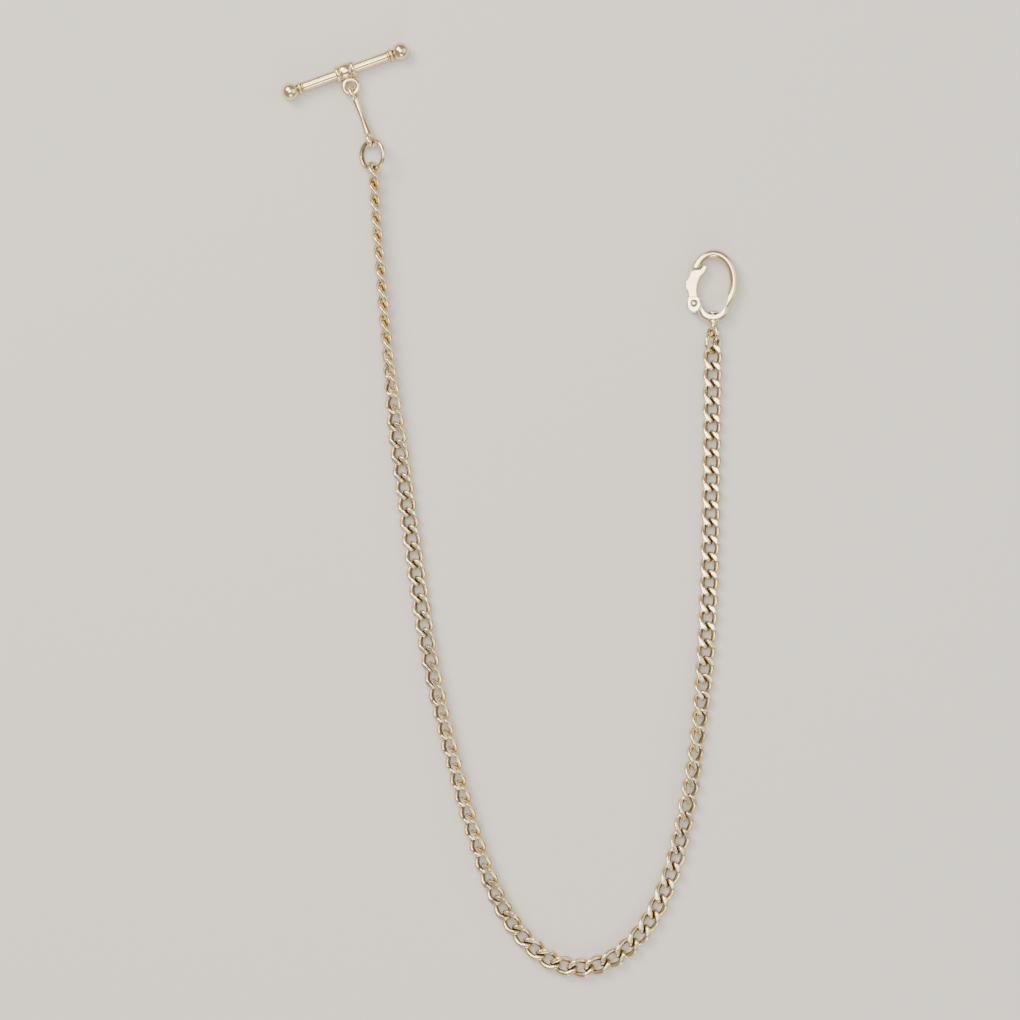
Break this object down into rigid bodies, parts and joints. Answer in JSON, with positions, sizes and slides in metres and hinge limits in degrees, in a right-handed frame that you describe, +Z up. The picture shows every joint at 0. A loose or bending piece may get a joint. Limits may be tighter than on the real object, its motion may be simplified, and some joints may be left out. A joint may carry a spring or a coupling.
{
  "type": "pocket watch chain",
  "caption": "Flat curb pocket watch chain in gold plate, with a T-bar for the buttonhole at one end and a swivel clasp for the watch at the other.",
  "frame": {"origin": "under the middle of the chain's box, on the surface that the chain lies on", "axes": "+Z up, out of the surface; +Y from the bottom of the curve to its two ends, towards the wearer's collar; +X to the clasp's side"},
  "size_m": [0.0948, 0.194, 0.0049],
  "materials": {
    "curb_gold": "gold plated brass, polished, worn satin on the links' filed faces",
    "fitting_gold": "gold plated brass, bright polish",
    "spring_steel": "blank spring steel"
  },
  "bodies": {
    "links_01": {"links_01": "curb_gold"},
    "links_02": {"links_02": "curb_gold"},
    "links_03": {"links_03": "curb_gold"},
    "links_04": {"links_04": "curb_gold"},
    "links_05": {"links_05": "curb_gold"},
    "links_06": {"links_06": "curb_gold"},
    "links_07": {"links_07": "curb_gold"},
    "links_08": {"links_08": "curb_gold"},
    "links_09": {"links_09": "curb_gold"},
    "links_10": {"links_10": "curb_gold"},
    "links_11": {"links_11": "curb_gold"},
    "links_12": {"links_12": "curb_gold"},
    "links_13": {"links_13": "curb_gold"},
    "links_14": {"links_14": "curb_gold"},
    "links_15": {"links_15": "curb_gold"},
    "links_16": {"links_16": "curb_gold"},
    "links_17": {"links_17": "curb_gold"},
    "links_18": {"links_18": "curb_gold"},
    "links_19": {"links_19": "curb_gold"},
    "links_20": {"links_20": "curb_gold"},
    "links_21": {"links_21": "curb_gold"},
    "links_22": {"links_22": "curb_gold"},
    "links_23": {"links_23": "curb_gold"},
    "links_24": {"links_24": "curb_gold"},
    "links_25": {"links_25": "curb_gold"},
    "links_26": {"links_26": "curb_gold"},
    "links_27": {"links_27": "curb_gold"},
    "links_28": {"links_28": "curb_gold"},
    "links_29": {"links_29": "curb_gold"},
    "links_30": {"links_30": "curb_gold"},
    "links_31": {"links_31": "curb_gold"},
    "links_32": {"links_32": "curb_gold"},
    "links_33": {"links_33": "curb_gold"},
    "links_34": {"links_34": "curb_gold"},
    "links_35": {"links_35": "curb_gold"},
    "links_36": {"links_36": "curb_gold"},
    "links_37": {"links_37": "curb_gold"},
    "links_38": {"links_38": "curb_gold"},
    "links_39": {"links_39": "curb_gold"},
    "links_40": {"links_40": "curb_gold"},
    "links_41": {"links_41": "curb_gold"},
    "links_42": {"links_42": "curb_gold"},
    "links_43": {"links_43": "curb_gold"},
    "links_44": {"links_44": "curb_gold"},
    "end_ring": {"end_ring": "fitting_gold"},
    "stem": {"stem": "fitting_gold"},
    "t_bar": {"t_bar_rod": "fitting_gold", "t_bar_collar": "fitting_gold"},
    "clasp_ring": {"clasp_ring": "fitting_gold"},
    "swivel_eye": {"swivel_eye": "fitting_gold"},
    "hook": {"hook_body": "fitting_gold", "gate_rivet": "fitting_gold", "gate_spring": "spring_steel"},
    "gate": {"gate_lever": "fitting_gold"}
  },
  "joints": [
    {"name": "bar_ring_swing", "type": "hinge", "parent": "links_44", "child": "end_ring", "pos_m": [-0.02842, 0.07116, 0.00248], "axis": [0, 0, 1], "range_deg": [-25, 25]},
    {"name": "bar_stem_swing", "type": "hinge", "parent": "end_ring", "child": "stem", "pos_m": [-0.02868, 0.07601, 0.00247], "axis": [0, 0, 1], "range_deg": [-37.5, 4]},
    {"name": "bar_swing", "type": "hinge", "parent": "stem", "child": "t_bar", "pos_m": [-0.03298, 0.08777, 0.0018], "axis": [0, 0, 1], "range_deg": [-75, 75]},
    {"name": "clasp_ring_swing", "type": "hinge", "parent": "links_01", "child": "clasp_ring", "pos_m": [0.04208, 0.03346, 0.00172], "axis": [0, 0, 1], "range_deg": [-25, 25]},
    {"name": "clasp_eye_swing", "type": "hinge", "parent": "clasp_ring", "child": "swivel_eye", "pos_m": [0.0421, 0.03591, 0.0017], "axis": [0, 0, 1], "range_deg": [-30, 18]},
    {"name": "clasp_spin", "type": "hinge", "parent": "swivel_eye", "child": "hook", "pos_m": [0.04213, 0.03859, 0.0015], "axis": [0.0089, 1, 0], "continuous": true},
    {"name": "clasp_gate", "type": "hinge", "parent": "hook", "child": "gate", "pos_m": [0.03816, 0.04282, 0.0015], "axis": [0, 0, 1], "range_deg": [-26, 0], "stiffness_Nm_per_rad": 0.004, "springref_deg": 8.59},
    {"name": "curb_19_edgewise", "type": "hinge", "parent": "links_20", "child": "links_19", "pos_m": [0.01638, -0.09498, 0.00128], "axis": [0.0156, -0.078, 0.9968], "range_deg": [-36, 4]},
    {"name": "curb_18_facewise", "type": "hinge", "parent": "links_19", "child": "links_18", "pos_m": [0.02292, -0.09212, 0.00126], "axis": [-0.5817, 0.8114, 0.0566], "range_deg": [-17.5, 17]},
    {"name": "curb_17_edgewise", "type": "hinge", "parent": "links_18", "child": "links_17", "pos_m": [0.0279, -0.08697, 0.00124], "axis": [-0.028, 0.0164, -0.9995], "range_deg": [-12.5, 27.5]},
    {"name": "curb_16_facewise", "type": "hinge", "parent": "links_17", "child": "links_16", "pos_m": [0.03138, -0.08067, 0.00122], "axis": [0.911, -0.4123, -0.0121], "range_deg": [-25, 25]},
    {"name": "curb_15_edgewise", "type": "hinge", "parent": "links_16", "child": "links_15", "pos_m": [0.0339, -0.07394, 0.00121], "axis": [-0.0009, 0.0012, -1], "range_deg": [-16.5, 23.5]},
    {"name": "curb_14_facewise", "type": "hinge", "parent": "links_15", "child": "links_14", "pos_m": [0.03565, -0.06696, 0.00133], "axis": [0.969, -0.2028, -0.1409], "range_deg": [-26, 24]},
    {"name": "curb_13_edgewise", "type": "hinge", "parent": "links_14", "child": "links_13", "pos_m": [0.03702, -0.05989, 0.0017], "axis": [0.4976, -0.1253, 0.8583], "range_deg": [-20.5, 19.5]},
    {"name": "curb_12_facewise", "type": "hinge", "parent": "links_13", "child": "links_12", "pos_m": [0.03816, -0.05278, 0.00186], "axis": [-0.7164, 0.1013, 0.6903], "range_deg": [-26, 24]},
    {"name": "curb_11_edgewise", "type": "hinge", "parent": "links_12", "child": "links_11", "pos_m": [0.03912, -0.04564, 0.00186], "axis": [0.6858, -0.079, 0.7235], "range_deg": [-20, 20]},
    {"name": "curb_10_facewise", "type": "hinge", "parent": "links_11", "child": "links_10", "pos_m": [0.0399, -0.03848, 0.0017], "axis": [-0.853, 0.1045, 0.5114], "range_deg": [-17.5, 15]},
    {"name": "curb_09_edgewise", "type": "hinge", "parent": "links_10", "child": "links_09", "pos_m": [0.0405, -0.03131, 0.00133], "axis": [-0.1435, -0.0297, -0.9892], "range_deg": [-9.5, 11]},
    {"name": "curb_08_facewise", "type": "hinge", "parent": "links_09", "child": "links_08", "pos_m": [0.04096, -0.02412, 0.00121], "axis": [0.9986, -0.0529, 0], "range_deg": [-25, 25]},
    {"name": "curb_07_edgewise", "type": "hinge", "parent": "links_08", "child": "links_07", "pos_m": [0.04127, -0.01693, 0.00121], "axis": [0, 0, -1], "range_deg": [-19.5, 20.5]},
    {"name": "curb_06_facewise", "type": "hinge", "parent": "links_07", "child": "links_06", "pos_m": [0.04148, -0.00973, 0.00121], "axis": [0.9997, -0.0252, 0], "range_deg": [-25, 25]},
    {"name": "curb_05_edgewise", "type": "hinge", "parent": "links_06", "child": "links_05", "pos_m": [0.04164, -0.00254, 0.00121], "axis": [0, 0, 1], "range_deg": [-20, 20]},
    {"name": "curb_04_facewise", "type": "hinge", "parent": "links_05", "child": "links_04", "pos_m": [0.04176, 0.00466, 0.00121], "axis": [-0.9999, 0.0152, 0], "range_deg": [-25, 25]},
    {"name": "curb_03_edgewise", "type": "hinge", "parent": "links_04", "child": "links_03", "pos_m": [0.04186, 0.01186, 0.00121], "axis": [0, 0, 1], "range_deg": [-20, 20]},
    {"name": "curb_02_facewise", "type": "hinge", "parent": "links_03", "child": "links_02", "pos_m": [0.04194, 0.01906, 0.00128], "axis": [-0.9999, 0.0105, 0], "range_deg": [-24.5, 25.5]},
    {"name": "curb_01_edgewise", "type": "hinge", "parent": "links_02", "child": "links_01", "pos_m": [0.04201, 0.02626, 0.0015], "axis": [0.0003, 0.0305, -0.9995], "range_deg": [-20, 20]},
    {"name": "curb_21_edgewise", "type": "hinge", "parent": "links_20", "child": "links_21", "pos_m": [0.00935, -0.09405, 0.0013], "axis": [-0.0376, -0.0892, 0.9953], "range_deg": [-4.5, 35.5]},
    {"name": "curb_22_facewise", "type": "hinge", "parent": "links_21", "child": "links_22", "pos_m": [0.00367, -0.0897, 0.00131], "axis": [0.7213, 0.6834, 0.1128], "range_deg": [-21, 21]},
    {"name": "curb_23_edgewise", "type": "hinge", "parent": "links_22", "child": "links_23", "pos_m": [-0.00069, -0.08399, 0.00146], "axis": [0.2143, 0.169, -0.962], "range_deg": [-18.5, 7]},
    {"name": "curb_24_facewise", "type": "hinge", "parent": "links_23", "child": "links_24", "pos_m": [-0.00388, -0.07754, 0.00172], "axis": [-0.784, -0.3061, -0.54], "range_deg": [-20, 16]},
    {"name": "curb_25_edgewise", "type": "hinge", "parent": "links_24", "child": "links_25", "pos_m": [-0.00635, -0.07078, 0.00188], "axis": [0.6642, 0.2298, -0.7114], "range_deg": [-18.5, 18]},
    {"name": "curb_26_facewise", "type": "hinge", "parent": "links_25", "child": "links_26", "pos_m": [-0.00852, -0.06391, 0.00188], "axis": [-0.6652, -0.2003, -0.7193], "range_deg": [-25.5, 24.5]},
    {"name": "curb_27_edgewise", "type": "hinge", "parent": "links_26", "child": "links_27", "pos_m": [-0.01051, -0.05699, 0.00188], "axis": [-0.6938, -0.1901, 0.6947], "range_deg": [-19.5, 20.5]},
    {"name": "curb_28_facewise", "type": "hinge", "parent": "links_27", "child": "links_28", "pos_m": [-0.01233, -0.05003, 0.00188], "axis": [0.6736, 0.1696, 0.7193], "range_deg": [-24.5, 25.5]},
    {"name": "curb_29_edgewise", "type": "hinge", "parent": "links_28", "child": "links_29", "pos_m": [-0.01403, -0.04303, 0.00188], "axis": [-0.7004, -0.1617, 0.6952], "range_deg": [-20, 20]},
    {"name": "curb_30_facewise", "type": "hinge", "parent": "links_29", "child": "links_30", "pos_m": [-0.01558, -0.036, 0.00181], "axis": [0.7568, 0.1727, 0.6305], "range_deg": [-24, 26]},
    {"name": "curb_31_edgewise", "type": "hinge", "parent": "links_30", "child": "links_31", "pos_m": [-0.01695, -0.02893, 0.00157], "axis": [0.3873, 0.037, -0.9212], "range_deg": [-21, 19]},
    {"name": "curb_32_facewise", "type": "hinge", "parent": "links_31", "child": "links_32", "pos_m": [-0.01812, -0.02183, 0.00138], "axis": [-0.9693, -0.1518, -0.1935], "range_deg": [-24, 26]},
    {"name": "curb_33_edgewise", "type": "hinge", "parent": "links_32", "child": "links_33", "pos_m": [-0.01917, -0.0147, 0.00138], "axis": [0.1802, 0.0282, -0.9832], "range_deg": [-20, 20]},
    {"name": "curb_34_facewise", "type": "hinge", "parent": "links_33", "child": "links_34", "pos_m": [-0.02016, -0.00757, 0.00141], "axis": [-0.9692, -0.1334, -0.2071], "range_deg": [-25, 25]},
    {"name": "curb_35_edgewise", "type": "hinge", "parent": "links_34", "child": "links_35", "pos_m": [-0.02115, -0.00044, 0.00143], "axis": [-0.2297, -0.034, 0.9727], "range_deg": [-20, 20]},
    {"name": "curb_36_facewise", "type": "hinge", "parent": "links_35", "child": "links_36", "pos_m": [-0.02213, 0.00669, 0.00144], "axis": [0.9582, 0.1311, 0.2541], "range_deg": [-25.5, 24.5]},
    {"name": "curb_37_edgewise", "type": "hinge", "parent": "links_36", "child": "links_37", "pos_m": [-0.02312, 0.01382, 0.0016], "axis": [-0.405, -0.0843, 0.9104], "range_deg": [-12.5, 13]},
    {"name": "curb_38_facewise", "type": "hinge", "parent": "links_37", "child": "links_38", "pos_m": [-0.02407, 0.02096, 0.00185], "axis": [0.7287, 0.0694, 0.6813], "range_deg": [-17, 18]},
    {"name": "curb_39_edgewise", "type": "hinge", "parent": "links_38", "child": "links_39", "pos_m": [-0.02491, 0.02811, 0.00204], "axis": [0.8851, 0.1055, -0.4532], "range_deg": [-11, 11.5]},
    {"name": "curb_40_facewise", "type": "hinge", "parent": "links_39", "child": "links_40", "pos_m": [-0.02565, 0.03527, 0.00212], "axis": [-0.2235, -0.0173, -0.9746], "range_deg": [-25.5, 24.5]},
    {"name": "curb_41_edgewise", "type": "hinge", "parent": "links_40", "child": "links_41", "pos_m": [-0.0263, 0.04244, 0.00212], "axis": [0.9816, 0.0851, -0.1712], "range_deg": [-20, 20]},
    {"name": "curb_42_facewise", "type": "hinge", "parent": "links_41", "child": "links_42", "pos_m": [-0.0269, 0.04962, 0.00212], "axis": [-0.1558, -0.0127, -0.9877], "range_deg": [-25, 25]},
    {"name": "curb_43_edgewise", "type": "hinge", "parent": "links_42", "child": "links_43", "pos_m": [-0.02749, 0.05679, 0.00214], "axis": [-0.9876, -0.0813, 0.1341], "range_deg": [-19, 21]},
    {"name": "curb_44_facewise", "type": "hinge", "parent": "links_43", "child": "links_44", "pos_m": [-0.02802, 0.06397, 0.00231], "axis": [0.1151, -0.0163, 0.9932], "range_deg": [-24.5, 25.5]}
  ]
}
